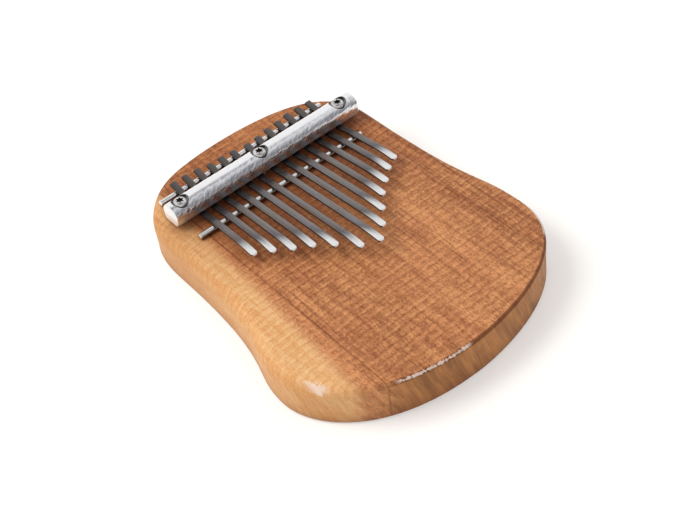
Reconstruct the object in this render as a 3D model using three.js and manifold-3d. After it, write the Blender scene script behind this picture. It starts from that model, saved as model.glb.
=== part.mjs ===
// Mbira: thirteen spring-steel tines clamped on a solid wooden board. Millimetres, +Z up.
// Origin: centre of the board's flat underside. +Y points to the head (the bar end),
// -Y to the player, +X to the player's right.

import * as THREE from 'three';
import { mergeVertices } from 'three/addons/utils/BufferGeometryUtils.js';
import Module from 'manifold-3d';

// ---- driving dimensions ----

const BOARD_LENGTH = 186.4;
const BOARD_THICKNESS = 22;
const BOARD_EDGE_ROUND = 3.5;
// The board is shaped by hand, so its sides differ a little. Each side has a widest place at
// the head and at the tail, and the outline's handles reach this far from them and from the
// middle of the ends.
const RIGHT_SIDE = {
  head: { halfWidth: 64.8, y: 55, endHandle: 55.5, cornerHandle: 17.5, waistHandle: 76.5 },
  tail: { halfWidth: 72.9, y: -47.5, endHandle: 24.5, cornerHandle: 35.5, waistHandle: 33 },
};
const LEFT_SIDE = {
  head: { halfWidth: 60.6, y: 48.5, endHandle: 45, cornerHandle: 31.5, waistHandle: 77.5 },
  tail: { halfWidth: 72.9, y: -47, endHandle: 55, cornerHandle: 16, waistHandle: 25.5 },
};

const FRONT_ROD_Y = 42.5;
const ROD_SPACING = 32.2; // front rod to rear rod
const ROD_DIAMETER = 3;
const ROD_LENGTH = 99.6;
const ROD_CHAMFER = 0.4;
const ROD_CENTRE_X = 1.4;

const BAR_LENGTH = 112;
const BAR_CENTRE_X = 3.4; // the bar sits a little to the right, as there is one more tine there
const BAR_Y = FRONT_ROD_Y + ROD_SPACING / 2;
const BAR_UNDERSIDE = 3; // height of the bar's flat above the board
const BAR_HEIGHT = 10.4;
const BAR_HALF_WIDTH = 5.6;
const BAR_FLAT_HALF_WIDTH = 4.3;
const BAR_WIDEST_HEIGHT = 4.8;

const SCREW_X = { left: -45.8, centre: 1.5, right: 50.7 };
const SHANK_RADIUS = 1.7;
const SHANK_LENGTH = 22;
const SHANK_POINT = 3;
const HEAD_RADIUS = 3.7;
const HEAD_HEIGHT = 2.6;
const HEAD_EDGE = 1.3; // straight side of the head, below its rounded top
const STAR_MEAN_RADIUS = 1.66;
const STAR_LOBE = 0.27;
const STAR_DEPTH = 1.5;
const SEAT_HEIGHT = 7.2; // counterbore floor above the bar's flat
const COUNTERBORE_RADIUS = 4.4;
const CLEARANCE_RADIUS = 2.05; // bores in the bar and in the board

const TINE_WIDTH = 3.4;
const TINE_THICKNESS = 1;
const TINE_PITCH = 7;
const MIDDLE_GAP = 1.3; // extra room between the sixth and seventh tines, for the centre screw
const TINES_LEFT = 6; // tines to the left of the centre screw
const TINE_SHIFT_X = 1;
const FAN = 0.00068; // radians of splay per millimetre of sideways position
const TINE_CORNER = 1;
// From the front rod to the playing tip, and from the rear rod to the end of the tuning tab.
const TONGUE_LENGTHS = [31.5, 37, 43, 48.5, 56, 65.5, 69, 62, 53.5, 45.5, 39.5, 33.5, 29.5];
const TAB_LENGTHS = [5, 5, 4.5, 3, 3, 2.5, 1.5, 2, 3, 3.5, 4.5, 4.5, 4];
const TIP_BEND_LENGTH = 11; // the last stretch of each tongue, bent down a little
const TONGUE_SLOPE = 0.085;
const TIP_SLOPE = -0.05;
const TAB_SLOPE = 0.17;

const REST_GAP = 0.3; // room between a tine and what it rests on or is pressed by
const SPLIT_GAP = 0.3; // between a shank and its tongue, on the crest of the front rod
const LIFT = 0.05; // rods above the board

// ---- materials ----

const WOOD = { color: 0xa86a3a, roughness: 0.55, metalness: 0 };
const ALUMINIUM = { color: 0xd9dade, roughness: 0.28, metalness: 1 };
const BRIGHT_STEEL = { color: 0xd4d2ce, roughness: 0.2, metalness: 1 };
const SPRING_STEEL = { color: 0x77736f, roughness: 0.32, metalness: 1 };

const wasm = await Module();
wasm.setup();

// ---- helpers ----

// Turns a closed three.js geometry into a solid that can be cut and joined.
function toSolid(geometry) {
  const bare = geometry.clone();
  bare.deleteAttribute('normal');
  bare.deleteAttribute('uv');
  const merged = mergeVertices(bare, 1e-4);
  const triangles = [];
  for (let i = 0; i < merged.index.count; i += 3) {
    const corners = [0, 1, 2].map((k) => merged.index.getX(i + k));
    if (new Set(corners).size === 3) triangles.push(...corners);
  }
  return new wasm.Manifold(new wasm.Mesh({
    numProp: 3,
    vertProperties: new Float32Array(merged.attributes.position.array),
    triVerts: new Uint32Array(triangles),
  }));
}

function toGeometry(solid) {
  const mesh = solid.getMesh();
  const geometry = new THREE.BufferGeometry();
  geometry.setAttribute('position', new THREE.BufferAttribute(mesh.vertProperties, 3));
  geometry.setIndex(new THREE.BufferAttribute(mesh.triVerts, 1));
  geometry.computeVertexNormals();
  return geometry;
}

function makePart(name, solid, look) {
  const part = new THREE.Mesh(toGeometry(solid), new THREE.MeshStandardMaterial(look));
  part.name = name;
  return part;
}

// A prism: the shape lies in the X-Y plane and is raised from z0 to z1.
function prism(shape, z0, z1, curveSegments = 12) {
  const geometry = new THREE.ExtrudeGeometry(shape, {
    depth: z1 - z0,
    bevelEnabled: false,
    curveSegments,
  });
  return geometry.translate(0, 0, z0);
}

// A bar along X, centred: the shape's x becomes +Y and its y becomes +Z.
function crossbar(shape, length, curveSegments = 12) {
  const cyclic = new THREE.Matrix4().makeBasis(
    new THREE.Vector3(0, 1, 0),
    new THREE.Vector3(0, 0, 1),
    new THREE.Vector3(1, 0, 0),
  );
  return prism(shape, -length / 2, length / 2, curveSegments).applyMatrix4(cyclic);
}

// A turned piece on the Z axis, from [radius, height] pairs that start and end on the axis.
function turned(profile, segments) {
  const points = profile.map(([radius, height]) => new THREE.Vector2(radius, height));
  return new THREE.LatheGeometry(points, segments).rotateX(Math.PI / 2);
}

function drill(x, y, radius, z0, z1) {
  const geometry = turned([[0, z0], [radius, z0], [radius, z1], [0, z1]], 24);
  return toSolid(geometry.translate(x, y, 0));
}

// ---- board ----

// The three curves of one side, from the head's middle to the tail's middle; toX is 1 or -1.
function sideCurves({ head, tail }, toX) {
  const end = BOARD_LENGTH / 2;
  const headX = toX * head.halfWidth;
  const tailX = toX * tail.halfWidth;
  return [
    [0, end, toX * head.endHandle, end, headX, head.y + head.cornerHandle, headX, head.y],
    [headX, head.y, headX, head.y - head.waistHandle, tailX, tail.y + tail.waistHandle, tailX, tail.y],
    [tailX, tail.y, tailX, tail.y - tail.cornerHandle, toX * tail.endHandle, -end, 0, -end],
  ];
}

function boardOutline() {
  const outline = new THREE.Shape();
  outline.moveTo(0, BOARD_LENGTH / 2);
  for (const curve of sideCurves(RIGHT_SIDE, 1)) {
    outline.bezierCurveTo(...curve.slice(2));
  }
  for (const [x, y, ax, ay, bx, by] of sideCurves(LEFT_SIDE, -1).reverse()) {
    outline.bezierCurveTo(bx, by, ax, ay, x, y);
  }
  return outline;
}

function board() {
  const geometry = new THREE.ExtrudeGeometry(boardOutline(), {
    depth: BOARD_THICKNESS - 2 * BOARD_EDGE_ROUND,
    bevelThickness: BOARD_EDGE_ROUND,
    bevelSize: BOARD_EDGE_ROUND,
    bevelOffset: -BOARD_EDGE_ROUND,
    bevelSegments: 4,
    curveSegments: 14,
  });
  let solid = toSolid(geometry.translate(0, 0, BOARD_EDGE_ROUND));
  const pilotFloor = BOARD_THICKNESS + BAR_UNDERSIDE + SEAT_HEIGHT - SHANK_LENGTH - 1;
  for (const x of Object.values(SCREW_X)) {
    solid = solid.subtract(drill(x, BAR_Y, CLEARANCE_RADIUS, pilotFloor, BOARD_THICKNESS + 1));
  }
  return makePart('board', solid, WOOD);
}

// ---- rods and pressure bar ----

function rod(name, y) {
  const half = ROD_LENGTH / 2;
  const radius = ROD_DIAMETER / 2;
  const geometry = turned([
    [0, -half],
    [radius - ROD_CHAMFER, -half],
    [radius, ROD_CHAMFER - half],
    [radius, half - ROD_CHAMFER],
    [radius - ROD_CHAMFER, half],
    [0, half],
  ], 24).rotateY(Math.PI / 2);
  const part = makePart(name, toSolid(geometry), BRIGHT_STEEL);
  part.position.set(ROD_CENTRE_X, y, BOARD_THICKNESS + LIFT + radius);
  return part;
}

// Round-backed section with a flat underside, drawn from the underside's middle.
function barSection() {
  const section = new THREE.Shape();
  section.moveTo(-BAR_FLAT_HALF_WIDTH, 0);
  section.lineTo(BAR_FLAT_HALF_WIDTH, 0);
  section.quadraticCurveTo(BAR_HALF_WIDTH, 1, BAR_HALF_WIDTH, BAR_WIDEST_HEIGHT);
  section.bezierCurveTo(BAR_HALF_WIDTH, 8.2, 3.4, BAR_HEIGHT, 0, BAR_HEIGHT);
  section.bezierCurveTo(-3.4, BAR_HEIGHT, -BAR_HALF_WIDTH, 8.2, -BAR_HALF_WIDTH, BAR_WIDEST_HEIGHT);
  section.quadraticCurveTo(-BAR_HALF_WIDTH, 1, -BAR_FLAT_HALF_WIDTH, 0);
  return section;
}

function pressureBar() {
  let solid = toSolid(crossbar(barSection(), BAR_LENGTH, 6));
  for (const x of Object.values(SCREW_X)) {
    const local = x - BAR_CENTRE_X;
    solid = solid.subtract(drill(local, 0, CLEARANCE_RADIUS, -1, SEAT_HEIGHT + 1));
    solid = solid.subtract(drill(local, 0, COUNTERBORE_RADIUS, SEAT_HEIGHT, BAR_HEIGHT + 1));
  }
  const part = makePart('pressure_bar', solid, ALUMINIUM);
  part.position.set(BAR_CENTRE_X, BAR_Y, BOARD_THICKNESS + BAR_UNDERSIDE);
  return part;
}

// ---- screws ----

// Six-lobed drive recess.
function starOutline() {
  const points = [];
  const steps = 48;
  for (let i = 0; i < steps; i += 1) {
    const angle = (2 * Math.PI * i) / steps;
    const radius = STAR_MEAN_RADIUS + STAR_LOBE * Math.cos(6 * angle);
    points.push(new THREE.Vector2(radius * Math.cos(angle), radius * Math.sin(angle)));
  }
  return new THREE.Shape(points);
}

// The head's underside is at height 0.
function screw(name, x) {
  const body = toSolid(turned([
    [0, -SHANK_LENGTH],
    [SHANK_RADIUS, SHANK_POINT - SHANK_LENGTH],
    [SHANK_RADIUS, 0],
    [HEAD_RADIUS, 0],
    [HEAD_RADIUS, HEAD_EDGE],
    [HEAD_RADIUS - 0.4, HEAD_EDGE + 0.8],
    [HEAD_RADIUS - 1.2, HEAD_HEIGHT],
    [0, HEAD_HEIGHT],
  ], 24));
  const recess = toSolid(prism(starOutline(), HEAD_HEIGHT - STAR_DEPTH, HEAD_HEIGHT + 1));
  const part = makePart(name, body.subtract(recess), BRIGHT_STEEL);
  part.position.set(x, BAR_Y, BOARD_THICKNESS + BAR_UNDERSIDE + SEAT_HEIGHT + REST_GAP);
  return part;
}

// ---- tines ----

// Heights of a tine's middle plane above the board; y is measured from the front rod, to the head.
const HEIGHT_AT_RODS = LIFT + ROD_DIAMETER + REST_GAP + TINE_THICKNESS / 2;
const HEIGHT_UNDER_BAR = BAR_UNDERSIDE - REST_GAP - TINE_THICKNESS / 2;

// From the tuning tab, over the rear rod and under the bar, to the crest of the front rod.
function shankLine(tabLength) {
  const barMiddle = ROD_SPACING / 2;
  const tabEnd = new THREE.Vector2(ROD_SPACING + tabLength, HEIGHT_AT_RODS + TAB_SLOPE * tabLength);
  const clamped = new THREE.SplineCurve([
    new THREE.Vector2(ROD_SPACING, HEIGHT_AT_RODS),
    new THREE.Vector2(barMiddle + BAR_FLAT_HALF_WIDTH, HEIGHT_UNDER_BAR),
    new THREE.Vector2(barMiddle - BAR_FLAT_HALF_WIDTH, HEIGHT_UNDER_BAR),
    new THREE.Vector2(SPLIT_GAP / 2, HEIGHT_AT_RODS),
  ]);
  return [tabEnd, ...clamped.getPoints(14)];
}

// From the crest of the front rod to the playing tip: straight, then bent a little down.
function tongueLine(tongueLength) {
  const bendStart = tongueLength - TIP_BEND_LENGTH;
  const bendHeight = HEIGHT_AT_RODS + TONGUE_SLOPE * bendStart;
  const bend = new THREE.QuadraticBezierCurve(
    new THREE.Vector2(-bendStart, bendHeight),
    new THREE.Vector2(-bendStart - 3, bendHeight + 3 * TONGUE_SLOPE),
    new THREE.Vector2(-bendStart - 6, bendHeight + 3 * (TONGUE_SLOPE + TIP_SLOPE)),
  ).getPoints(5);
  const last = bend[bend.length - 1];
  const straight = TIP_BEND_LENGTH - 6;
  const tip = new THREE.Vector2(-tongueLength, last.y + TIP_SLOPE * straight);
  return [new THREE.Vector2(-SPLIT_GAP / 2, HEIGHT_AT_RODS), ...bend, tip];
}

// Side view of a strip of constant thickness that follows a line.
function stripSide(line) {
  const sideways = line.map((point, i) => {
    const before = line[Math.max(i - 1, 0)];
    const after = line[Math.min(i + 1, line.length - 1)];
    const along = after.clone().sub(before).normalize();
    return new THREE.Vector2(-along.y, along.x).multiplyScalar(TINE_THICKNESS / 2);
  });
  const upper = line.map((point, i) => point.clone().add(sideways[i]));
  const lower = line.map((point, i) => point.clone().sub(sideways[i]));
  return new THREE.Shape([...upper, ...lower.reverse()]);
}

// Plan view of a strip with two rounded corners at yRound and a square end at ySquare.
function stripPlan(yRound, ySquare) {
  const half = TINE_WIDTH / 2;
  const inward = Math.sign(ySquare - yRound) * TINE_CORNER;
  const plan = new THREE.Shape();
  plan.moveTo(-half, ySquare);
  plan.lineTo(-half, yRound + inward);
  plan.quadraticCurveTo(-half, yRound, TINE_CORNER - half, yRound);
  plan.lineTo(half - TINE_CORNER, yRound);
  plan.quadraticCurveTo(half, yRound, half, yRound + inward);
  plan.lineTo(half, ySquare);
  return plan;
}

function strip(name, line, yRound, ySquare) {
  const bent = toSolid(crossbar(stripSide(line), TINE_WIDTH + 2));
  const plan = toSolid(prism(stripPlan(yRound, ySquare), 0, BOARD_THICKNESS, 4));
  return makePart(name, bent.intersect(plan), SPRING_STEEL);
}

// A tine's group stands on the board under the crest of the front rod, turned by the fan angle.
function tine(index) {
  const sixth = TINES_LEFT - 1;
  const fromMiddle = (index - sixth - 0.5) * TINE_PITCH;
  const x = TINE_SHIFT_X + fromMiddle + Math.sign(fromMiddle) * (MIDDLE_GAP / 2);
  const name = `tine_${String(index + 1).padStart(2, '0')}`;
  const tab = ROD_SPACING + TAB_LENGTHS[index];
  const tip = -TONGUE_LENGTHS[index];
  const group = new THREE.Group();
  group.add(strip(`${name}_shank`, shankLine(TAB_LENGTHS[index]), tab, 0));
  group.add(strip(`${name}_tongue`, tongueLine(TONGUE_LENGTHS[index]), tip, 0));
  group.position.set(x, FRONT_ROD_Y, BOARD_THICKNESS);
  group.rotation.z = FAN * x;
  return group;
}

// ---- assembly ----

const mbira = new THREE.Group();
mbira.add(board());
mbira.add(rod('front_bridge_rod', FRONT_ROD_Y));
mbira.add(rod('rear_rod', FRONT_ROD_Y + ROD_SPACING));
mbira.add(pressureBar());
for (const [place, x] of Object.entries(SCREW_X)) {
  mbira.add(screw(`screw_${place}`, x));
}
for (let index = 0; index < TONGUE_LENGTHS.length; index += 1) {
  mbira.add(tine(index));
}

export default mbira;
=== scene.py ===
"""Looks for the mbira: thirteen spring-steel tines clamped on a figured wooden board.

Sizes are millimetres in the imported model's own frame unless a name says otherwise:
+Y points to the head (the bar end), -Y to the player, +X to the player's right, +Z up.
"""

import math
import random

import bmesh
import bpy
import numpy as np
from mathutils import Euler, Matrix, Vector


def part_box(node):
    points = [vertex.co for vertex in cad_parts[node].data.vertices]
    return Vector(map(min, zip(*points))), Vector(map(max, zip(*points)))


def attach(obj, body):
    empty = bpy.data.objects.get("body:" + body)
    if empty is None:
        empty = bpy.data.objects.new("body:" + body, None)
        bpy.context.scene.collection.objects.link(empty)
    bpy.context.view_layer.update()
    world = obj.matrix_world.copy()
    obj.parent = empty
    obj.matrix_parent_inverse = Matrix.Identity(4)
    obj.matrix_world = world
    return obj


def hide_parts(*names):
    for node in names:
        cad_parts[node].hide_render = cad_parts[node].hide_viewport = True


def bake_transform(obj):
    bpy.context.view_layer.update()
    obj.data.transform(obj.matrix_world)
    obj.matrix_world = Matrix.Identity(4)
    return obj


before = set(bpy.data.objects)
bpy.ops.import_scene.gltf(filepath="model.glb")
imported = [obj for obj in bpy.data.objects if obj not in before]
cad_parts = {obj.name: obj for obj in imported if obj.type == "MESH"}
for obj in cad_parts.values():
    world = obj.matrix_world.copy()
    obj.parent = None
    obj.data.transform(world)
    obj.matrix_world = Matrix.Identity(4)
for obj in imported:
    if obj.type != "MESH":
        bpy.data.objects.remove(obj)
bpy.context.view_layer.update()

MM = 0.001
SHARP_DEGREES = 35  # faces that meet at more than this keep a sharp edge
TINE_SHARP_DEGREES = 50
DRILL_SIDES = 72
ROOT_BODY = "clamped_frame"
TINE_COUNT = 13
SCREW_PLACES = ("left", "centre", "right")

# ---- camera: where it looks, and from where ----
CAMERA_TARGET = (-7.9, -17.4, 22.0)
CAMERA_DISTANCE = 637.0
CAMERA_AZIMUTH = -34.3
CAMERA_ELEVATION = 45.6
CAMERA_ROLL = -8.4
CAMERA_LENS = 72.6

# ---- studio ----
DIM_SIDE = (0.6, -0.8, 0.0)  # the direction in which the backdrop is darkest

# ---- board ----
CAD_SIDE_HEIGHT = 3.5  # the upright part of the CAD board's side begins at this height
OUTLINE_POINTS = 400
TOP_ROUND = 1.9
LEFT_TOP_ROUND = 6.5  # the player's left edge is sanded much rounder
BOTTOM_ROUND = 1.8
SIDE_HOLLOW = 0.10  # how far the side is hollowed half way up, on average
PILOT_RADIUS = 2.05
GRAIN_LINES = (  # place across the board, half width, darkness
    (-43.6, 0.6, 0.65),
    (56.2, 0.7, 0.45),
    (57.9, 0.6, 0.40),
    (64.4, 0.9, 0.35),
)
PAINTED_GLINT_PLACES = (  # painted highlights on the rim: x from, x to, y from, y to, how rarely the painted glint shows
    (-41.0, -2.0, -96.0, -76.0, 1.96),
    (-69.0, -60.5, -69.5, -55.0, 1.90),
    (62.0, 78.0, -72.0, -36.0, 1.90),
)
GLINT_FADE = 4.0

# ---- rods ----
ROD_SIDES = 40
ROD_END_ROUND = 0.5
ROD_STATION_STEP = 0.5
WORN_FLAT_DEPTH = 0.05  # of the flat under each tine

# ---- pressure bar ----
BAR_FLAT_SHARE = 0.72  # width of the flat underside over the full width
BAR_WIDEST_SHARE = 0.48  # height of the widest place over the full height
BAR_BASE_POINTS = 10
BAR_STATION_STEP = 0.4
BAR_END_ROUND = 0.8
SEAT_HEIGHT = 7.2  # counterbore floor above the bar's underside
COUNTERBORE_RADIUS = 4.4
CLEARANCE_RADIUS = 2.05
HAMMER_MARKS = 520
HAMMER_SEED = 11

# ---- screws ----
SCREW_SIDES = 96
SCREW_HEAD_HEIGHT = 2.6
SCREW_HEAD_RADIUS = 3.45
SCREW_HEAD_PROFILE = (  # how far in from the head's radius, height above its underside
    (0.12, 0.0),
    (0.0, 0.12),
    (0.0, 1.25),
    (0.07, 1.55),
    (0.3, 1.9),
    (0.65, 2.2),
    (1.05, 2.42),
    (1.4, 2.53),
)
NECK_RADIUS = 1.7
SHANK_RADIUS = 1.35
THREAD_HEIGHT = 0.35
THREAD_PITCH = 1.5
THREAD_LENGTH = 13.0
STAR_MEAN_RADIUS = 1.55
STAR_LOBE = 0.37
STAR_DEPTH = 1.5

# ---- tines ----
TINE_WIDTH = 3.4
TINE_THICKNESS = 1.0
TINE_BEVEL = 0.13
TINE_CROWN = 0.03
TIP_CORNER = 1.3
TAB_CORNER = 0.8
END_ROUND = 0.42  # ground slope of the end faces, top and bottom
REST_GAP = 0.3  # room between a tine and the rods or the bar
TONGUE_SLOPE = 0.085
TIP_SLOPE = -0.05
TIP_BEND = 11.0
TIP_STRAIGHT = 5.0
TAB_SLOPE = 0.17
CRADLE_SLOPE = 0.1  # how steeply a tine comes down from the front rod to the bar
BAR_FLAT_HALF_WIDTH = 4.3
END_STATIONS = (0, 0.04, 0.12, 0.25, 0.42, 0.62, 0.85, 1.1, 1.35)  # distances from an end


# ---- small helpers ----


def box_mm(node):
    low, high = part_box(node)
    return np.array(low) / MM, np.array(high) / MM


def srgb(red, green, blue):
    """A display colour of 0 to 255 as the linear colour that shader nodes take."""
    linear = [((c / 255 + 0.055) / 1.055) ** 2.4 for c in (red, green, blue)]
    return (*linear, 1.0)


def smoothstep(value, low, high):
    t = np.clip((np.asarray(value, float) - low) / (high - low), 0, 1)
    return t * t * (3 - 2 * t)


def wobble(angle, seed):
    """A smooth closed wave of about -1 to 1 round a full turn, made of a few harmonics."""
    rng = random.Random(seed)
    total = np.zeros_like(angle)
    for harmonic in (3, 5, 8, 13, 21):
        total += np.sin(harmonic * angle + rng.uniform(0, math.tau)) / harmonic**0.5
    return total / 1.8


def loft(rings):
    """Skins rings of equal length and closes both ends; returns vertices and faces."""
    count = len(rings[0])
    faces = []
    for row in range(len(rings) - 1):
        for k in range(count):
            a = row * count + k
            b = row * count + (k + 1) % count
            faces.append((a, b, b + count, a + count))
    last = (len(rings) - 1) * count
    faces.append(tuple(reversed(range(count))))
    faces.append(tuple(range(last, last + count)))
    return np.concatenate(rings), faces


def make_piece(name, vertices, faces, material=None, sharp_degrees=SHARP_DEGREES):
    """A mesh object from millimetre vertices, smooth except where faces meet sharply."""
    mesh = bpy.data.meshes.new(name)
    mesh.from_pydata([tuple(v) for v in np.asarray(vertices) * MM], [], faces)
    tidy = bmesh.new()
    tidy.from_mesh(mesh)
    bmesh.ops.recalc_face_normals(tidy, faces=tidy.faces)
    tidy.to_mesh(mesh)
    tidy.free()
    smooth_with_edges(mesh, sharp_degrees)
    if material:
        mesh.materials.append(material)
    piece = bpy.data.objects.new(name, mesh)
    bpy.context.scene.collection.objects.link(piece)
    return piece


def smooth_with_edges(mesh, sharp_degrees):
    mesh.shade_smooth()
    mesh.set_sharp_from_angle(angle=math.radians(sharp_degrees))


def mark(piece, name, values):
    """Stores one number per vertex for the materials to read."""
    attribute = piece.data.attributes.new(name, "FLOAT", "POINT")
    attribute.data.foreach_set("value", np.asarray(values, np.float32))


def ring(radius, height, count, wave=None):
    angle = np.arange(count) * math.tau / count
    r = radius if wave is None else radius + wave(angle)
    return np.column_stack([r * np.cos(angle), r * np.sin(angle), np.full(count, height)])


def drill(x, y, radius, low, high):
    """A plain round cutter; it is removed once it has cut."""
    vertices, faces = loft([ring(radius, low, DRILL_SIDES), ring(radius, high, DRILL_SIDES)])
    return make_piece("cutter", vertices + np.array([x, y, 0]), faces)


def cut(piece, cutters):
    """Subtracts the cutters from the piece for good."""
    for cutter in cutters:
        modifier = piece.modifiers.new("cut", "BOOLEAN")
        modifier.operation = "DIFFERENCE"
        modifier.solver = "EXACT"
        modifier.object = cutter
    depsgraph = bpy.context.evaluated_depsgraph_get()
    mesh = bpy.data.meshes.new_from_object(piece.evaluated_get(depsgraph))
    piece.modifiers.clear()
    piece.data = mesh
    smooth_with_edges(mesh, SHARP_DEGREES)
    for cutter in cutters:
        bpy.data.objects.remove(cutter)


# ---- shader helpers ----


class Shader:
    """Adds and joins the nodes of one material or of the world."""

    def __init__(self, tree):
        self.tree = tree
        tree.nodes.clear()

    def add(self, kind, inputs=None, **settings):
        node = self.tree.nodes.new("ShaderNode" + kind)
        for key, value in settings.items():
            setattr(node, key, value)
        for key, value in (inputs or {}).items():
            self.feed(node.inputs[key], value)
        return node

    def feed(self, socket, value):
        if isinstance(value, bpy.types.NodeSocket):
            self.tree.links.new(value, socket)
        else:
            socket.default_value = value

    def math(self, operation, a, b=0.0):
        return self.add("Math", {0: a, 1: b}, operation=operation).outputs[0]

    def total(self, terms):
        """Adds up pairs of a value and its weight."""
        result = 0.0
        for value, weight in terms:
            result = self.math("ADD", result, self.math("MULTIPLY", value, weight))
        return result

    def scaled(self, vector, factors):
        node = self.add("VectorMath", {0: vector, 1: factors}, operation="MULTIPLY")
        return node.outputs[0]

    def joined(self, x, y, z):
        return self.add("CombineXYZ", {0: x, 1: y, 2: z}).outputs[0]

    def parts(self, vector):
        """The x, y and z of a vector."""
        return self.add("SeparateXYZ", {0: vector}).outputs

    def facing(self):
        """The x, y and z of the direction in which the surface faces."""
        return self.parts(self.add("NewGeometry").outputs["Normal"])

    def noise(self, vector, detail=2.0, roughness=0.5):
        inputs = {"Vector": vector, "Scale": 1.0, "Detail": detail, "Roughness": roughness}
        return self.add("TexNoise", inputs).outputs[0]

    def band(self, value, low, high, start=0.0, end=1.0):
        """Maps low..high to start..end with soft ends."""
        inputs = {"Value": value, 1: low, 2: high, 3: start, 4: end}
        node = self.add("MapRange", inputs, interpolation_type="SMOOTHSTEP")
        return node.outputs[0]

    def mix(self, factor, a, b):
        """Blends two colours."""
        return self.add("Mix", {0: factor, 6: a, 7: b}, data_type="RGBA").outputs[2]

    def bump(self, height, distance_mm, strength, normal=None):
        inputs = {"Height": height, "Distance": distance_mm * MM, "Strength": strength}
        if normal:
            inputs["Normal"] = normal
        return self.add("Bump", inputs).outputs[0]

    def attribute(self, name):
        return self.add("Attribute", attribute_name=name).outputs["Fac"]

    def openness(self, distance_mm):
        """1 in the open, less where other surfaces stand within the distance."""
        node = self.add("AmbientOcclusion", {"Distance": distance_mm * MM}, samples=4)
        return node.outputs["AO"]


def new_material(name):
    """A material's shader helper and the place on the object in millimetres."""
    material = bpy.data.materials.new(name)
    material.use_nodes = True
    shader = Shader(material.node_tree)
    coordinates = shader.add("TexCoord").outputs["Object"]
    place = shader.scaled(coordinates, (1 / MM, 1 / MM, 1 / MM))
    return material, shader, place


def finish_surface(shader, **inputs):
    """Feeds a principled surface; underscores in names stand for spaces."""
    values = {key.replace("_", " "): value for key, value in inputs.items()}
    surface = shader.add("BsdfPrincipled", values)
    output = shader.add("OutputMaterial")
    shader.tree.links.new(surface.outputs[0], output.inputs[0])


# ---- materials ----


class Grain:
    """Fields of noise drawn out along the grain of the board, and what is read from them."""

    def __init__(self, shader, place):
        self.shader = shader
        self.x, self.y, self.z = shader.parts(place)
        drift = shader.noise(shader.scaled(place, (0.03, 0.008, 0.03)), detail=2)
        self.across = shader.total(((self.x, 1.0), (self.z, 0.35), (drift, 8.0)))
        self.blocks = self.field(0.24, 0.014, 0.1, 1.0)
        self.columns = self.field(0.55, 0.02, 0.1, 3.0, 0.6)
        self.dashes = self.field(2.6, 0.50, 1.4, 2.0, 0.6)
        self.specks = self.field(1.5, 1.1, 1.4, 3.0, 0.75)
        self.rows = self.ripple(4.2, self.field(0.04, 0.03, 0.05, 1.0),
                                self.field(0.30, 0.12, 0.1, 2.0))
        self.level = self.brightness()
        boundary = shader.total(((self.x, 1.0), (self.columns, 5.0), (self.y, -0.066)))
        self.is_sap = shader.band(boundary, -50.6, -43.0, 1.0, 0.0)
        self.past_sap = shader.band(self.x, -54.0, -32.0)

    def field(self, per_x, per_y, per_z, detail=2.0, roughness=0.5):
        """Noise with its own number of waves per millimetre each way."""
        sx = self.shader.math("MULTIPLY", self.across, per_x)
        sy = self.shader.math("MULTIPLY", self.y, per_y)
        sz = self.shader.math("MULTIPLY", self.z, per_z)
        stretched = self.shader.joined(sx, sy, sz)
        return self.shader.noise(stretched, detail=detail, roughness=roughness)

    def ripple(self, period, bends, patches):
        """Broken rows across the grain: each brightens slowly, then drops to dark."""
        shader = self.shader
        cycle = shader.total(((self.y, -1 / period), (self.z, 0.12), (bends, 1.3),
                              (self.blocks, 0.7)))
        share = shader.math("FRACT", cycle)
        rise = shader.band(share, 0.0, 0.72)
        fall = shader.band(share, 0.74, 1.0, 1.0, 0.0)
        strength = shader.band(patches, 0.36, 0.60, 0.15, 1.0)
        return shader.math("MULTIPLY", shader.math("MULTIPLY", rise, fall), strength)

    def brightness(self):
        """0 where the figure is darkest, 1 where it is palest."""
        finer_rows = self.ripple(2.2, self.field(0.06, 0.05, 0.05, 1.0),
                                 self.field(0.35, 0.2, 0.1, 1.0))
        rings = self.field(0.07, 0.003, 0.02, 2.0)
        level = self.shader.total((
            (self.rows, 0.27), (finer_rows, 0.17), (rings, 0.60),
            (self.columns, 0.80), (self.dashes, 0.55), (self.specks, 1.15),
        ))
        return self.shader.band(level, 1.12, 2.20)

    def between(self, dark, pale):
        """A wood colour that follows the figure."""
        return self.shader.mix(self.level, srgb(*dark), srgb(*pale))


def heart_and_sap(grain):
    """Redder patches in the heartwood, and both woods darker towards the head."""
    shader = grain.shader
    heart = grain.between((122, 66, 38), (210, 147, 96))
    redness = shader.band(grain.field(0.05, 0.03, 0.05, 2.0), 0.42, 0.62, 0.0, 0.30)
    heart = shader.mix(redness, heart, grain.between((112, 54, 34), (196, 124, 82)))
    sap = grain.between((194, 128, 66), (220, 180, 131))
    to_head = shader.band(grain.y, -20.0, 60.0)
    heart = shader.mix(to_head, heart, grain.between((110, 58, 30), (194, 128, 80)))
    sap = shader.mix(to_head, sap, grain.between((170, 110, 60), (202, 157, 108)))
    return shader.mix(grain.is_sap, heart, sap)


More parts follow.
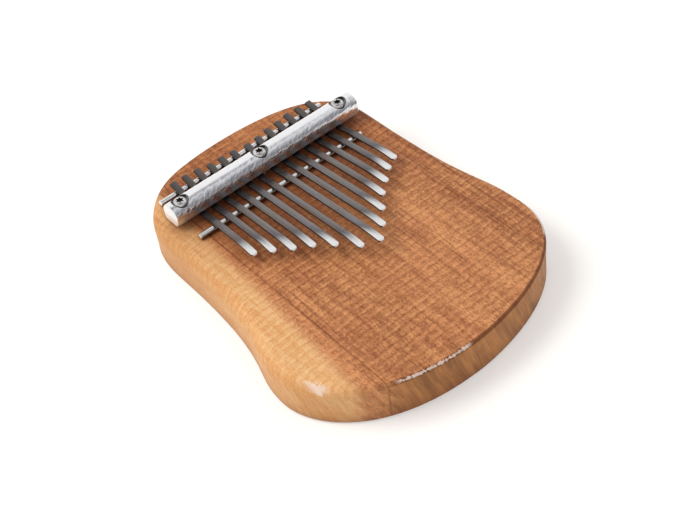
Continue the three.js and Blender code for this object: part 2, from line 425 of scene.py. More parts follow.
def with_lines_and_pores(grain, colour):
    """Adds single dark lines near the two sides, fine threads in the heartwood, and pores."""
    shader = grain.shader
    for centre, half_width, depth in GRAIN_LINES:
        offset = shader.total(((grain.x, 1.0), (grain.columns, 2.0), (1.0, -centre - 1)))
        line = shader.band(shader.math("ABSOLUTE", offset), 0.0, half_width, depth, 0.0)
        colour = shader.mix(line, colour, srgb(98, 52, 30))
    threads = shader.band(grain.field(1.1, 0.03, 0.3, 1.0), 0.28, 0.38, 0.42, 0.0)
    is_heart = shader.math("SUBTRACT", 1.0, grain.is_sap)
    colour = shader.mix(shader.math("MULTIPLY", threads, is_heart), colour, srgb(104, 56, 32))
    pores = shader.band(grain.field(1.7, 0.45, 1.4, 1.0), 0.56, 0.66, 0.0, 0.42)
    pore_colour = shader.mix(grain.is_sap, srgb(112, 62, 36), srgb(204, 148, 92))
    return shader.mix(pores, colour, pore_colour)


def with_sides(grain, colour, leftness, along_grain):
    """Darkens the left side with painted shade, and shows end grain where the side faces head or
    player.
    """
    shader = grain.shader
    # painted shade: the left-facing side is painted darker and duller, as if less lit
    painted_left_shade = shader.band(leftness, -0.95, -0.35, 0.42, 0.0)
    colour = shader.mix(painted_left_shade, colour, srgb(176, 122, 72))
    is_end = shader.math("MULTIPLY", shader.band(along_grain, 0.45, 0.95), grain.past_sap)
    streaks = shader.total(((grain.field(0.16, 0.02, 0.03, 3.0), 0.6),
                            (grain.field(0.9, 0.05, 0.07), 0.4)))
    streak_share = shader.band(streaks, 0.3, 0.7)
    end_colour = shader.mix(streak_share, srgb(120, 76, 40), srgb(176, 119, 66))
    return shader.mix(shader.math("MULTIPLY", is_end, 0.88), colour, end_colour)


def with_rim(grain, colour, along_grain):
    """Darkens the rim over the end grain and paints pale highlights (glints) on a few places of the
    rim.
    """
    shader = grain.shader
    edge = shader.attribute("edge")
    over_end = shader.math("MULTIPLY", shader.band(along_grain, 0.12, 0.45), grain.past_sap)
    dark_rim = shader.math("MULTIPLY", shader.band(edge, 0.1, 0.7, 0.0, 0.7), over_end)
    colour = shader.mix(dark_rim, colour, srgb(88, 44, 25))
    ragged = shader.total(((edge, 1.0), (grain.specks, 1.4), (grain.columns, 1.0)))
    painted_glint = 0.0
    for x_low, x_high, y_low, y_high, threshold in PAINTED_GLINT_PLACES:
        inside = shader.band(grain.x, x_low, x_low + GLINT_FADE)
        for limit in (shader.band(grain.x, x_high - GLINT_FADE, x_high, 1.0, 0.0),
                      shader.band(grain.y, y_low, y_low + GLINT_FADE),
                      shader.band(grain.y, y_high - GLINT_FADE, y_high, 1.0, 0.0),
                      shader.band(ragged, threshold, threshold + 0.12)):
            inside = shader.math("MULTIPLY", inside, limit)
        painted_glint = shader.math("MAXIMUM", painted_glint, inside)
    # painted highlight: pale glints mixed into the rim's colour
    return shader.mix(shader.math("MULTIPLY", painted_glint, 0.8), colour, srgb(222, 202, 188))


def wood_material():
    """Ripple-figured heartwood with a honey strip of sapwood along the left side."""
    material, shader, place = new_material("figured_wood")
    grain = Grain(shader, place)
    facing = shader.facing()
    along_grain = shader.math("ABSOLUTE", facing[1])
    colour = heart_and_sap(grain)
    colour = with_lines_and_pores(grain, colour)
    colour = with_sides(grain, colour, facing[0], along_grain)
    # painted shade: the wood turns deep red-brown where other parts stand close over it, between and
    # under the tines
    painted_shade = shader.band(shader.openness(10.0), 0.35, 0.95, 0.62, 0.0)
    colour = shader.mix(painted_shade, colour, srgb(92, 38, 22))
    colour = with_rim(grain, colour, along_grain)
    relief = shader.total(((grain.rows, 0.4), (grain.dashes, 1.0)))
    rough = shader.band(grain.dashes, 0.3, 0.7, 0.54, 0.44)
    finish_surface(shader, Base_Color=colour, Roughness=rough, Specular_IOR_Level=0.16,
                   Normal=shader.bump(relief, 0.05, 0.4))
    return material


def aluminium_material():
    """Polished aluminium with fine slanting marks of the hammer's face."""
    material, shader, place = new_material("hammered_aluminium")
    x, _, z = shader.parts(place)
    girth = shader.attribute("girth")
    climb = shader.math("SUBTRACT", shader.math("MULTIPLY", x, 0.77),
                        shader.math("MULTIPLY", girth, 0.64))
    cross = shader.math("ADD", shader.math("MULTIPLY", girth, 0.77),
                        shader.math("MULTIPLY", x, 0.64))
    marks_place = shader.joined(shader.math("MULTIPLY", climb, 0.24),
                                shader.math("MULTIPLY", cross, 0.95), 0.0)
    marks = shader.noise(marks_place, detail=4, roughness=0.6)
    cloud = shader.noise(shader.scaled(place, (0.25, 0.5, 0.5)), detail=3)
    rough = shader.math("ADD", shader.band(cloud, 0.3, 0.7, 0.15, 0.25),
                        shader.band(z, 25.0, 31.5, 0.32, 0.0))
    facing = shader.facing()
    upward = shader.band(facing[2], 0.72, 0.96)
    endward = shader.band(shader.math("ABSOLUTE", facing[0]), 0.7, 0.95)
    calm = shader.math("MAXIMUM", upward, endward)
    # painted shade: the base colour is darker on the sides than on the top and the ends, as if less
    # lit
    plain = shader.mix(calm, (0.68, 0.69, 0.73, 1), (0.92, 0.92, 0.93, 1))
    colour = shader.mix(shader.band(marks, 0.35, 0.65), plain, (0.96, 0.96, 0.96, 1))
    colour = shader.mix(endward, colour, (0.80, 0.78, 0.76, 1))
    # painted shade: near-black in the counterbores and close to the parts around the bar
    painted_shade = shader.band(shader.openness(3.0), 0.25, 0.75, 0.65, 0.0)
    colour = shader.mix(painted_shade, colour, (0.13, 0.12, 0.11, 1))
    soft_edges = shader.add("Bevel", {"Radius": 0.2 * MM}, samples=4).outputs[0]
    depth = shader.math("SUBTRACT", 1.0, shader.math("MULTIPLY", calm, 0.9))
    marks = shader.math("MULTIPLY", marks, depth)
    normal = shader.bump(marks, 0.30, 0.5, soft_edges)
    finish_surface(shader, Base_Color=colour, Metallic=1.0, Roughness=rough, Normal=normal)
    return material


def rod_material():
    """Bright steel with fine lines along it, with painted shade low on its round sides."""
    material, shader, place = new_material("polished_rod_steel")
    lines = shader.noise(shader.scaled(place, (0.3, 4.0, 4.0)), detail=3, roughness=0.6)
    rough = shader.band(lines, 0.3, 0.7, 0.10, 0.20)
    tint = (0.90, 0.89, 0.87, 1)
    dull = tuple(0.85 * c for c in tint[:3]) + (1,)
    colour = shader.mix(shader.band(lines, 0.4, 0.6), dull, tint)
    facing = shader.facing()
    round_side = shader.band(shader.math("ABSOLUTE", facing[0]), 0.5, 0.9, 1.0, 0.0)
    # painted shade: the lower half of the rod's round side is painted dark
    painted_underside_shade = shader.math("MULTIPLY", shader.band(facing[2], 0.15, 0.65, 0.85, 0.0), round_side)
    colour = shader.mix(painted_underside_shade, colour, (0.16, 0.13, 0.11, 1))
    normal = shader.bump(lines, 0.008, 0.5)
    finish_surface(shader, Base_Color=colour, Metallic=1.0, Roughness=rough, Normal=normal)
    return material


def strip_field(shader, *axes, **settings):
    """Noise over three axes, each given as a value and its scale."""
    scaled = [shader.math("MULTIPLY", value, scale) for value, scale in axes]
    return shader.noise(shader.joined(*scaled), **settings)


def dark_steel_colour(shader, across, y, tone, streaks):
    """Tempered brown and bluish patches, painted paler to the right as if lit, and painted shade near
    the bar.
    """
    cloud = strip_field(shader, (across, 0.3), (y, 0.06), (tone, 60.0), detail=2)
    brown = shader.mix(tone, (0.150, 0.112, 0.088, 1), (0.185, 0.155, 0.132, 1))
    bluish = shader.mix(tone, (0.125, 0.112, 0.120, 1), (0.200, 0.190, 0.205, 1))
    colour = shader.mix(shader.band(cloud, 0.38, 0.62), brown, bluish)
    # painted sheen: the right half of the strip is painted paler
    lit_side = shader.band(across, -1.6, 1.5, 0.0, 0.7)
    colour = shader.mix(lit_side, colour, (0.27, 0.245, 0.23, 1))
    pale_streaks = shader.band(streaks, 0.5, 0.75, 0.0, 0.35)
    colour = shader.mix(pale_streaks, colour, (0.38, 0.36, 0.35, 1))
    # painted shade: the strip is painted dark towards the bar
    painted_shade_near_bar = shader.band(y, 30.0, 52.0, 0.0, 0.62)
    return shader.mix(painted_shade_near_bar, colour, (0.075, 0.066, 0.062, 1))


def with_polished_end(shader, colour, across, tone, streaks):
    """Adds the bright end, partly polish and partly a painted reflection, which starts on a slant
    that differs from tine to tine, with a painted dark reflection just before it.
    """
    from_tip = shader.attribute("from_tip")
    slant = shader.math("SUBTRACT", shader.math("MULTIPLY", tone, 2.4), 0.6)
    turn = shader.math("MULTIPLY", across, slant)
    feather = shader.math("MULTIPLY", shader.math("SUBTRACT", streaks, 0.5), 8.0)
    reach = shader.math("ADD", shader.math("ADD", from_tip, turn), feather)
    # painted reflection: a dark band just before the bright end
    shade = shader.band(reach, 9.0, 22.0, 0.5, 0.0)
    colour = shader.mix(shade, colour, (0.09, 0.09, 0.10, 1))
    # partly polish, partly painted reflection: the end is painted bright
    return shader.mix(shader.band(reach, 2.0, 13.5, 1.0, 0.0), colour, (0.86, 0.85, 0.84, 1))


def tine_material():
    """Tempered steel: dark along the strip, polished near the tip with a painted reflection, and
    painted black on the sides as shade.
    """
    material, shader, place = new_material("spring_steel")
    across = shader.attribute("across")
    tone = shader.attribute("tone")
    ground = shader.attribute("ground")
    y = shader.parts(place)[1]
    streaks = strip_field(shader, (across, 1.6), (y, 0.05), (tone, 40.0), detail=3, roughness=0.6)
    colour = dark_steel_colour(shader, across, y, tone, streaks)
    colour = with_polished_end(shader, colour, across, tone, streaks)
    upright = shader.math("ABSOLUTE", shader.facing()[2])
    # painted shade: the upright side faces are painted near-black
    painted_side_shade = shader.band(upright, 0.30, 0.62, 1.0, 0.0)
    colour = shader.mix(painted_side_shade, colour, (0.020, 0.016, 0.014, 1))
    # partly the pale ground end faces, partly a painted highlight: they are painted near-white
    colour = shader.mix(ground, colour, (0.92, 0.90, 0.88, 1))
    lines = shader.noise(shader.joined(shader.math("MULTIPLY", across, 5.0),
                                       shader.math("MULTIPLY", y, 0.25), 0.0), detail=2)
    rough = shader.band(lines, 0.3, 0.7, 0.20, 0.32)
    rough = shader.math("ADD", rough, shader.math("MULTIPLY", ground, 0.25))
    metal = shader.math("SUBTRACT", 1.0, shader.math("MULTIPLY", ground, 0.6))
    normal = shader.bump(lines, 0.01, 0.6)
    finish_surface(shader, Base_Color=colour, Metallic=metal, Roughness=rough, Normal=normal)
    return material


def screw_material():
    """Plated steel with fine turned rings on the head, and painted shade in the drive recess."""
    material, shader, place = new_material("screw_steel")
    radial = shader.attribute("radial")
    depth = shader.attribute("recess")
    turned_place = shader.joined(shader.math("MULTIPLY", radial, 6.0), 0.0, 0.0)
    turned = shader.noise(turned_place, detail=2)
    cloud = shader.noise(shader.scaled(place, (0.6, 0.6, 0.6)), detail=2)
    colour = shader.mix(shader.band(cloud, 0.3, 0.7), (0.56, 0.55, 0.53, 1), (0.78, 0.77, 0.75, 1))
    # painted shade: the drive recess is painted dark, darkest deep down
    colour = shader.mix(depth, colour, (0.10, 0.095, 0.09, 1))
    rough = shader.band(turned, 0.3, 0.7, 0.16, 0.34)
    normal = shader.bump(turned, 0.02, 0.5)
    finish_surface(shader, Base_Color=colour, Metallic=1.0, Roughness=rough, Normal=normal)
    return material


def floor_material():
    """A pale sheet that glows a little, like a light table; clear when seen from below."""
    material, shader, place = new_material("pale_floor")
    cloud = shader.noise(shader.scaled(place, (0.02, 0.02, 0.02)), detail=2)
    colour = shader.mix(cloud, (0.66, 0.65, 0.63, 1), (0.69, 0.68, 0.66, 1))
    sheet = shader.add("BsdfPrincipled", {
        "Base Color": colour,
        "Roughness": 0.9,
        "Specular IOR Level": 0.1,
        "Emission Color": (1.0, 0.99, 0.97, 1),
        "Emission Strength": 0.33,
    })
    towards_eye = shader.add("NewGeometry").outputs["Incoming"]
    height = shader.parts(towards_eye)[2]
    from_below = shader.math("LESS_THAN", height, 0.0)
    clear = shader.add("BsdfTransparent")
    either = shader.add("MixShader", {0: from_below, 1: sheet.outputs[0], 2: clear.outputs[0]})
    shader.add("OutputMaterial", {0: either.outputs[0]})
    return material


# ---- board ----


def closed_curve(points, count):
    """Evenly spaced points on a smooth closed curve through the given points."""
    following = np.roll(points, -1, axis=0)
    chord = np.linalg.norm(following - points, axis=1)
    slope = (following - np.roll(points, 1, axis=0)) / (chord + np.roll(chord, 1))[:, None]
    start = np.concatenate([[0], np.cumsum(chord)])
    place = np.linspace(0, start[-1], count, endpoint=False)
    span = np.clip(np.searchsorted(start, place, side="right") - 1, 0, len(points) - 1)
    t = ((place - start[span]) / chord[span])[:, None]
    a, b = points[span], following[span]
    slope_a = slope[span] * chord[span][:, None]
    slope_b = np.roll(slope, -1, axis=0)[span] * chord[span][:, None]
    h = 2 * t**3 - 3 * t**2 + 1
    return h * a + (t**3 - 2 * t**2 + t) * slope_a + (1 - h) * b + (t**3 - t**2) * slope_b


def board_outline():
    """The CAD board's side as a smooth ring, with outward normals and angles."""
    coordinates = np.array([v.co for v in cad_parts["board"].data.vertices]) / MM
    side = coordinates[np.abs(coordinates[:, 2] - CAD_SIDE_HEIGHT) < 0.05][:, :2]
    side = np.unique(np.round(side, 3), axis=0)
    side = side[np.argsort(np.arctan2(side[:, 1], side[:, 0]))]
    outline = closed_curve(side, OUTLINE_POINTS)
    tangent = np.roll(outline, -1, axis=0) - np.roll(outline, 1, axis=0)
    tangent /= np.linalg.norm(tangent, axis=1)[:, None]
    normals = np.column_stack([tangent[:, 1], -tangent[:, 0]])
    return outline, normals, np.arctan2(outline[:, 1], outline[:, 0])


def screw_axis(name):
    """Where a screw stands, and the height of its point."""
    low, high = box_mm(f"screw_{name}")
    x, y = (low + high)[:2] / 2
    return x, y, low[2]


def board_rings(thickness):
    """Rings from the underside to the top; edge is 1 half way round the upper rim, else less."""
    outline, normals, angle = board_outline()
    leftness = smoothstep(-normals[:, 0], 0.25, 0.95)
    top_round = TOP_ROUND + (LEFT_TOP_ROUND - TOP_ROUND) * leftness
    top_round = top_round * (1 + 0.10 * wobble(angle, 3)) + 0.15 * wobble(3 * angle, 4)
    bottom_round = BOTTOM_ROUND * (1 + 0.08 * wobble(angle, 5))
    rings = []
    edge = []

    def add_ring(inset, height, edge_share=0.0):
        flat = outline - normals * np.broadcast_to(inset, angle.shape)[:, None]
        rings.append(np.column_stack([flat, np.broadcast_to(height, angle.shape)]))
        edge.extend([edge_share] * len(angle))

    def add_cap(base, height, shares):
        for share in shares:
            rings.append(np.column_stack([base * share, np.full(len(angle), height)]))
            edge.extend([0.0] * len(angle))

    add_cap(outline - normals * bottom_round[:, None], 0.0, (0.3, 0.6, 0.85, 0.97))
    for turn in np.radians(np.linspace(0, 90, 9)):
        add_ring(bottom_round * (1 - np.sin(turn)), bottom_round * (1 - np.cos(turn)))
    hollow = SIDE_HOLLOW * (1 + wobble(2 * angle, 6))
    for share in (0.25, 0.5, 0.75):
        height = bottom_round + share * (thickness - top_round - bottom_round)
        add_ring(hollow * math.sin(math.pi * share), height)
    for turn in np.radians(np.linspace(0, 90, 13)):
        share = math.sin(2 * turn)
        add_ring(top_round * (1 - np.cos(turn)), thickness - top_round * (1 - np.sin(turn)), share)
    add_cap(outline - normals * top_round[:, None], thickness, (0.98, 0.93, 0.8, 0.6, 0.35))
    return rings, edge


def wooden_board(material):
    thickness = box_mm("board")[1][2]
    rings, edge = board_rings(thickness)
    vertices, faces = loft(rings)
    piece = make_piece("wooden_board", vertices, faces, material)
    mark(piece, "edge", edge)
    cutters = []
    for name in SCREW_PLACES:
        x, y, point = screw_axis(name)
        cutters.append(drill(x, y, PILOT_RADIUS, point - 1, thickness + 1))
    cut(piece, cutters)
    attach(piece, ROOT_BODY)
    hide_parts("board")


# ---- rods, and the ends that the bar shares with them ----


def rounded_ends(half_length, radius, step):
    """Stations along a bar with rounded ends, as (place along it, how far it draws in)."""
    turns = np.radians(np.linspace(0, 90, 6))
    end = [(radius * (1 - math.cos(a)), radius * (1 - math.sin(a))) for a in turns]
    stations = [(run_in - half_length, inset) for run_in, inset in end]
    stations += [(x, 0.0) for x in np.arange(-half_length + 1, half_length - 0.9, step)]
    stations += [(half_length - run_in, inset) for run_in, inset in reversed(end)]
    return stations


def polished_rod(node, material):
    """A rod with rounded ends and a shallow bright flat worn under each tine."""
    low, high = box_mm(node)
    centre = (low + high) / 2
    radius = (high[2] - low[2]) / 2
    half_length = (high[0] - low[0]) / 2
    tine_places = [tine_line(i)[0] - centre[0] for i in range(TINE_COUNT)]
    angle = np.arange(ROD_SIDES) * math.tau / ROD_SIDES
    rings = []
    for x, inset in rounded_ends(half_length, ROD_END_ROUND, ROD_STATION_STEP):
        r = radius - inset
        past_tine = min(abs(x - place) for place in tine_places) - TINE_WIDTH / 2
        worn = WORN_FLAT_DEPTH * float(smoothstep(-past_tine, -0.4, 0.2))
        height = np.minimum(r * np.sin(angle), r - worn)
        rings.append(np.column_stack([np.full(ROD_SIDES, x), r * np.cos(angle), height]))
    vertices, faces = loft(rings)
    piece = make_piece(f"{node}_polished", vertices + centre, faces, material)
    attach(piece, ROOT_BODY)
    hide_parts(node)


# ---- pressure bar ----


def bezier(points, count):
    """Points on a quadratic or cubic Bezier curve, without its last point."""
    t = np.linspace(0, 1, count, endpoint=False)[:, None]
    while len(points) > 1:
        points = [a + (b - a) * t for a, b in zip(points, points[1:])]
    return points[0]


def bar_section(half_width, height):
    """A round-backed section with a flat underside, as (y, z) points."""
    flat = half_width * BAR_FLAT_SHARE
    widest = height * BAR_WIDEST_SHARE
    corners = [np.array(p, float) for p in (
        (-flat, 0), (flat, 0), (half_width, 0.05 * height), (half_width, widest),
        (half_width, 0.77 * height), (0.56 * half_width, height), (0, height),
    )]
    base = bezier(corners[0:2], BAR_BASE_POINTS)
    side = bezier(corners[1:4], 14)
    back = bezier(corners[3:7], 26)
    right = np.concatenate([side, back])
    left = (right * np.array([-1, 1]))[::-1]
    return np.concatenate([base, right, [corners[6]], left[:-1]])


def hammer(vertices, half_length, section):
    """Sinks shallow slanting dents into the bar's back and sides."""
    rng = random.Random(HAMMER_SEED)
    height = section[:, 1].max()
    along = np.array([1.0, 0, 0])
    for _ in range(HAMMER_MARKS):
        index = rng.randrange(BAR_BASE_POINTS, len(section) - 1)
        tangent = section[index + 1] - section[index - 1]
        tangent /= np.linalg.norm(tangent)
        if section[index, 1] < 0.2 * height:
            continue
        normal = np.array([0, tangent[1], -tangent[0]])
        climb = np.array([0, *tangent]) * (1 if tangent[1] > 0 else -1)
        slant = math.radians(rng.uniform(20, 60))
        long_way = math.cos(slant) * along + math.sin(slant) * climb
        short_way = np.cross(normal, long_way)
        centre = np.array([rng.uniform(-half_length, half_length), *section[index]])
        offset = vertices - centre
        length = rng.uniform(1.6, 3.4)
        width = rng.uniform(0.8, 1.7)
        spread = (offset @ long_way / length) ** 2 + (offset @ short_way / width) ** 2
        near = (spread < 1) & (np.abs(offset @ normal) < 2)
        depth = rng.uniform(0.03, 0.11) * (1 - 0.85 * smoothstep(normal[2], 0.72, 0.96))
        dent = np.where(near, (1 - np.minimum(spread, 1)) ** 2, 0) * depth
        vertices = vertices - dent[:, None] * normal
    return vertices


def hammered_bar(material):
    low, high = box_mm("pressure_bar")
    centre = (low + high) / 2
    half_length = (high[0] - low[0]) / 2
    section = bar_section((high[1] - low[1]) / 2, high[2] - low[2])
    middle = np.array([0, (high[2] - low[2]) / 2])
    reach = np.linalg.norm(section - middle, axis=1)[:, None]
    rings = []
    for x, inset in rounded_ends(half_length, BAR_END_ROUND, BAR_STATION_STEP):
        ring_points = middle + (section - middle) * (1 - inset / reach)
        rings.append(np.column_stack([np.full(len(section), x), ring_points]))
    vertices, faces = loft(rings)
    vertices = hammer(vertices, half_length, section)
    place = np.array([centre[0], centre[1], low[2]])
    piece = make_piece("hammered_bar", vertices + place, faces, material)
    steps = np.linalg.norm(np.diff(section, axis=0), axis=1)
    mark(piece, "girth", np.tile(np.concatenate([[0], np.cumsum(steps)]), len(rings)))
    seat = low[2] + SEAT_HEIGHT
    cutters = []
    for name in SCREW_PLACES:
        x, y, _ = screw_axis(name)
        cutters.append(drill(x, y, COUNTERBORE_RADIUS, seat, high[2] + 1))
        cutters.append(drill(x, y, CLEARANCE_RADIUS, low[2] - 1, seat + 1))
    cut(piece, cutters)
    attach(piece, ROOT_BODY)
    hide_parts("pressure_bar")


# ---- screws ----


def star_ring(radius, height, lobe_share):
    return ring(radius, height, SCREW_SIDES, lambda angle: lobe_share * STAR_LOBE * np.cos(6 * angle))


def threaded_shank(tip):
    """Rings of a screw's shank, from a point at this height up to the end of its thread."""
    angle = np.arange(SCREW_SIDES) * math.tau / SCREW_SIDES
    rings = [ring(0.12, tip, SCREW_SIDES)]
    for height in np.arange(tip + 0.1, tip + THREAD_LENGTH, THREAD_PITCH / 8):
        core = SHANK_RADIUS * min(1, 0.1 + (height - tip) / 3.2)
        turn = (height / THREAD_PITCH - angle / math.tau) % 1
        crest = np.clip(1 - np.abs(turn - 0.5) * 5, 0, 1)
        fade = min(1, (height - tip) / 3) * min(1, (tip + THREAD_LENGTH - height) / 1.5)
        radius = core + THREAD_HEIGHT * fade * crest
        rings.append(np.column_stack([radius * np.cos(angle), radius * np.sin(angle),
                                      np.full(SCREW_SIDES, height)]))
    rings.append(ring(SHANK_RADIUS, tip + THREAD_LENGTH + 0.1, SCREW_SIDES))
    return rings


def pan_head(neck_start, underside):
    """Rings of the neck and of the head's rounded outside."""
    rings = [
        ring(NECK_RADIUS, neck_start, SCREW_SIDES),
        ring(NECK_RADIUS, underside - 0.4, SCREW_SIDES),
        ring(NECK_RADIUS + 0.25, underside, SCREW_SIDES),
    ]
    for inset, height in SCREW_HEAD_PROFILE:
        rings.append(ring(SCREW_HEAD_RADIUS - inset, underside + height, SCREW_SIDES))
    return rings


def star_recess(top):
    """Rings down into the drive recess, each with how dark its painted shade is."""
    star = STAR_MEAN_RADIUS
    floor_height = top - STAR_DEPTH
    return [
        (ring(star + 0.5, top - 0.02, SCREW_SIDES), 0.0),
        (star_ring(star + 0.1, top, 0.9), 0.0),
        (star_ring(star, top - 0.08, 1.0), 0.85),
        (star_ring(star, top - 0.3, 1.0), 1.0),
        (star_ring(star - 0.04, floor_height + 0.2, 1.0), 1.0),
        (star_ring(star - 0.35, floor_height, 0.6), 0.95),
        (ring(0.4, floor_height - 0.15, SCREW_SIDES), 0.8),
    ]


def star_screw(name, material):
    """A pan-head wood screw with a six-lobed drive recess."""
    low, high = box_mm(f"screw_{name}")
    centre = (low + high) / 2
    outside = threaded_shank(low[2])
    outside += pan_head(low[2] + THREAD_LENGTH + 0.5, high[2] - SCREW_HEAD_HEIGHT)
    recess = star_recess(high[2])
    rings = outside + [points for points, _ in recess]
    # painted shade of the recess, one value for each ring
    darkness = [0.0] * len(outside) + [dark for _, dark in recess]
    vertices, faces = loft(rings)
    place = np.array([centre[0], centre[1], 0])
    piece = make_piece(f"screw_{name}_star_head", vertices + place, faces, material)
    mark(piece, "radial", np.hypot(vertices[:, 0], vertices[:, 1]))
    mark(piece, "recess", np.repeat(darkness, SCREW_SIDES))
    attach(piece, ROOT_BODY)
    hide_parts(f"screw_{name}")


# ---- tines ----


def tine_name(index):
    return f"tine_{index + 1:02d}"


def tine_line(index):
    """Where a tine crosses the front rod, its heading to the head, and its two lengths."""
    rod_low, rod_high = box_mm("front_bridge_rod")
    rod_y = (rod_low[1] + rod_high[1]) / 2
    shank_low, shank_high = box_mm(tine_name(index) + "_shank")
    tongue_low, tongue_high = box_mm(tine_name(index) + "_tongue")
    shank = (shank_low + shank_high) / 2
    tongue = (tongue_low + tongue_high) / 2
    heading = (shank - tongue)[:2]
    heading /= np.linalg.norm(heading)
    x = tongue[0] + heading[0] / heading[1] * (rod_y - tongue[1])
    tongue_length = rod_y - tongue_low[1]
    shank_length = shank_high[1] - rod_y
    return x, rod_y, heading, tongue_length, shank_length


def hermite(t, start, start_slope, end, end_slope, span):
    h = 2 * t**3 - 3 * t**2 + 1
    bend = (t**3 - 2 * t**2 + t) * start_slope * span + (t**3 - t**2) * end_slope * span
    return h * start + (1 - h) * end + bend


def shank_height(y, rear, at_rods, under_bar):
    """Height of the strip's middle over the clamped stretch; y is measured from the front rod."""
    front_edge = rear / 2 - BAR_FLAT_HALF_WIDTH
    rear_edge = rear / 2 + BAR_FLAT_HALF_WIDTH
    if y < front_edge:
        return hermite(y / front_edge, at_rods, -CRADLE_SLOPE, under_bar, 0, front_edge)
    if y < rear_edge:
        return under_bar
    if y < rear:
        t = (y - rear_edge) / (rear - rear_edge)
        return hermite(t, under_bar, 0, at_rods, TAB_SLOPE, rear - rear_edge)
    return at_rods + TAB_SLOPE * (y - rear)


def tongue_heights(out, length, at_rods, tip_slope):
    """Heights at distances out from the front rod, by adding up the slope along the way."""
    fine = np.linspace(0, length, 200)
    slope = np.interp(fine, [0, length - TIP_BEND, length - TIP_STRAIGHT, length],
                      [TONGUE_SLOPE, TONGUE_SLOPE, tip_slope, tip_slope])
    rise = np.concatenate([[0], np.cumsum((slope[1:] + slope[:-1]) / 2 * np.diff(fine))])
    return at_rods + np.interp(out, fine, rise)


def strip_section(half_width, half_thickness, crown):
    """Rounded rectangle as (across, up) points, the upper face slightly crowned."""
    bevel = min(TINE_BEVEL, half_thickness * 0.5)
    points = []
    corners = ((1, 1, 0), (-1, 1, 90), (-1, -1, 180), (1, -1, 270))
    for sign_x, sign_z, start in corners:
        cx = sign_x * (half_width - bevel)
        cz = sign_z * (half_thickness - bevel)
        for degrees in (0, 30, 60, 90):
            a = math.radians(start + degrees)
            points.append((cx + bevel * math.cos(a), cz + bevel * math.sin(a)))
        if start in (0, 180):
            for share in (0.7, 0.35, 0, -0.35, -0.7):
                points.append((sign_x * share * half_width, sign_z * half_thickness))
    points = np.array(points)
    drop = crown * (points[:, 0] / half_width) ** 2
    points[:, 1] -= np.where(points[:, 1] > 0, drop, 0)
    return points


def end_inset(distance, radius):
    """How far a rounded corner of this radius draws in, at a distance from the end."""
    if distance >= radius:
        return 0.0
    return radius - math.sqrt(radius**2 - (radius - distance) ** 2)


def tine_stations(tongue, shank):
    """Distances from the front rod, tab end first; close together where the strip bends."""
    tab = [shank - d for d in END_STATIONS]
    clamped = list(np.arange(shank - 1.8, 1.2, -0.9))
    crest = list(np.arange(1.2, -1.3, -0.3))
    open_reach = list(np.arange(-2.2, -(tongue - TIP_BEND - 1), -1.6))
    bend = list(np.arange(-(tongue - TIP_BEND - 0.6), -(tongue - 1.5), -0.7))
    tip = [d - tongue for d in reversed(END_STATIONS)]
    return np.array(tab + clamped + crest + open_reach + bend + tip)


def height_at_rods():
    """Height of a strip's middle where it crosses the rods."""
    return box_mm("front_bridge_rod")[1][2] + REST_GAP + TINE_THICKNESS / 2


def tine_heights(stations, tongue, rod_y, tip_slope):
    """Heights of the strip's middle at its stations, over the clamped stretch and beyond."""
    rear_low, rear_high = box_mm("rear_rod")
    rear = (rear_low[1] + rear_high[1]) / 2 - rod_y
    under_bar = box_mm("pressure_bar")[0][2] - REST_GAP - TINE_THICKNESS / 2
    at_rods = height_at_rods()
    heights = tongue_heights(-stations, tongue, at_rods, tip_slope)
    for k in np.flatnonzero(stations >= 0):
        heights[k] = shank_height(stations[k], rear, at_rods, under_bar)
    return heights


def end_section(from_tip, from_tab):
    """The strip's section, drawn in near its ends."""
    half_width = TINE_WIDTH / 2
    half_width -= end_inset(from_tip, TIP_CORNER) + end_inset(from_tab, TAB_CORNER)
    half_thickness = TINE_THICKNESS / 2
    half_thickness -= end_inset(from_tip, END_ROUND) + end_inset(from_tab, END_ROUND)
    return strip_section(half_width, half_thickness, TINE_CROWN)


def tine_strip(index, material):
    """One continuous strip from tuning tab to playing tip, bent at the front rod's crest."""
    rng = random.Random(100 + index)
    x, rod_y, heading, tongue, shank = tine_line(index)
    tip_slope = TIP_SLOPE + rng.uniform(-0.012, 0.012)
    tone = rng.uniform(0, 1)
    stations = tine_stations(tongue, shank)
    heights = tine_heights(stations, tongue, rod_y, tip_slope)
    slope = np.gradient(heights, stations)
    side = np.array([heading[1], -heading[0], 0])
    rings = []
    marks = {"from_tip": [], "across": [], "tone": [], "ground": []}
    for y, height, lean in zip(stations, heights, slope):
        from_tip = y + tongue
        section = end_section(from_tip, shank - y)
        up = np.array([-heading[0] * lean, -heading[1] * lean, 1]) / math.hypot(1, lean)
        centre = np.array([x + heading[0] * y, rod_y + heading[1] * y, height])
        rings.append(centre + section[:, :1] * side + section[:, 1:] * up)
        marks["from_tip"].extend([from_tip] * len(section))
        marks["across"].extend(section[:, 0])
        marks["tone"].extend([tone] * len(section))
        marks["ground"].extend([1.0 if from_tip < 0.2 else 0.0] * len(section))
    vertices, faces = loft(rings)
    piece = make_piece(f"{tine_name(index)}_strip", vertices, faces, material, TINE_SHARP_DEGREES)
    for name, values in marks.items():
        mark(piece, name, values)
    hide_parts(f"{tine_name(index)}_shank", f"{tine_name(index)}_tongue")
    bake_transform(piece)


# ---- stage, light and camera ----


def floor(material):
    vertices, faces = loft([ring(4000, -2.0, 96), ring(4000, -0.02, 96)])
    piece = make_piece("floor", vertices, faces, material)


def softbox(name, location_mm, width_mm, height_mm, power, colour=(1, 1, 1)):
    """An area light that faces the middle of the board."""
    light = bpy.data.lights.new(name, "AREA")
    light.shape = "RECTANGLE"
    light.size = width_mm * MM
    light.size_y = height_mm * MM
    light.energy = power
    light.color = colour
    lamp = bpy.data.objects.new(name, light)
    lamp.location = Vector(location_mm) * MM
    lamp.rotation_euler = (-lamp.location).to_track_quat("-Z", "Y").to_euler()
    lamp.visible_glossy = False
    bpy.context.scene.collection.objects.link(lamp)


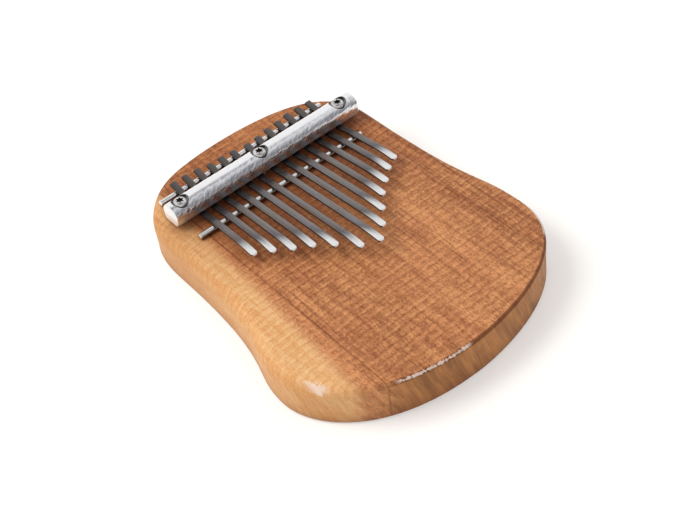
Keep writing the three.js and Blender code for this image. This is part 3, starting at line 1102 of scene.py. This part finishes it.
def studio_world():
    """A bright backdrop, darker overhead and towards the player's right."""
    world = bpy.data.worlds.new("studio")
    world.use_nodes = True
    bpy.context.scene.world = world
    shader = Shader(world.node_tree)
    direction = shader.add("TexCoord").outputs["Generated"]
    facing = shader.add("VectorMath", {0: direction, 1: DIM_SIDE}, operation="DOT_PRODUCT")
    dimness = shader.band(facing.outputs["Value"], 0.34, 0.98)
    height = shader.parts(direction)[2]
    low_sky = shader.band(height, 0.02, 0.20)
    dim_colour = shader.mix(low_sky, (0.40, 0.39, 0.39, 1), (0.22, 0.22, 0.24, 1))
    colour = shader.mix(dimness, (0.92, 0.92, 0.93, 1), dim_colour)
    overhead = shader.band(height, 0.86, 0.96)
    colour = shader.mix(overhead, colour, (0.26, 0.26, 0.28, 1))
    background = shader.add("Background", {"Color": colour, "Strength": 1.0})
    output = shader.add("OutputWorld")
    shader.tree.links.new(background.outputs[0], output.inputs[0])


def studio_camera():
    camera = bpy.data.cameras.new("camera")
    camera.lens = CAMERA_LENS
    camera.sensor_width = 36
    camera.clip_start = 0.01
    camera.clip_end = 50
    rig = bpy.data.objects.new("camera", camera)
    azimuth = math.radians(CAMERA_AZIMUTH)
    elevation = math.radians(CAMERA_ELEVATION)
    back = Vector((math.sin(azimuth) * math.cos(elevation),
                   -math.cos(azimuth) * math.cos(elevation),
                   math.sin(elevation)))
    rig.location = (Vector(CAMERA_TARGET) + back * CAMERA_DISTANCE) * MM
    facing = (-back).to_track_quat("-Z", "Y")
    roll = Euler((0, 0, math.radians(CAMERA_ROLL))).to_quaternion()
    rig.rotation_mode = "QUATERNION"
    rig.rotation_quaternion = facing @ roll
    bpy.context.scene.collection.objects.link(rig)
    bpy.context.scene.camera = rig


def build():
    wooden_board(wood_material())
    hammered_bar(aluminium_material())
    rod_steel = rod_material()
    for node in ("front_bridge_rod", "rear_rod"):
        polished_rod(node, rod_steel)
    screw_steel = screw_material()
    for name in SCREW_PLACES:
        star_screw(name, screw_steel)
    tine_steel = tine_material()
    for index in range(TINE_COUNT):
        tine_strip(index, tine_steel)
    floor(floor_material())
    studio_world()
    softbox("key_softbox", (-560, 420, 860), 600, 600, 8.0, (1.0, 0.98, 0.95))
    softbox("front_softbox", (650, -850, 420), 600, 300, 2.4, (1.0, 0.97, 0.93))
    studio_camera()
    bpy.context.scene.view_settings.view_transform = "Standard"


build()
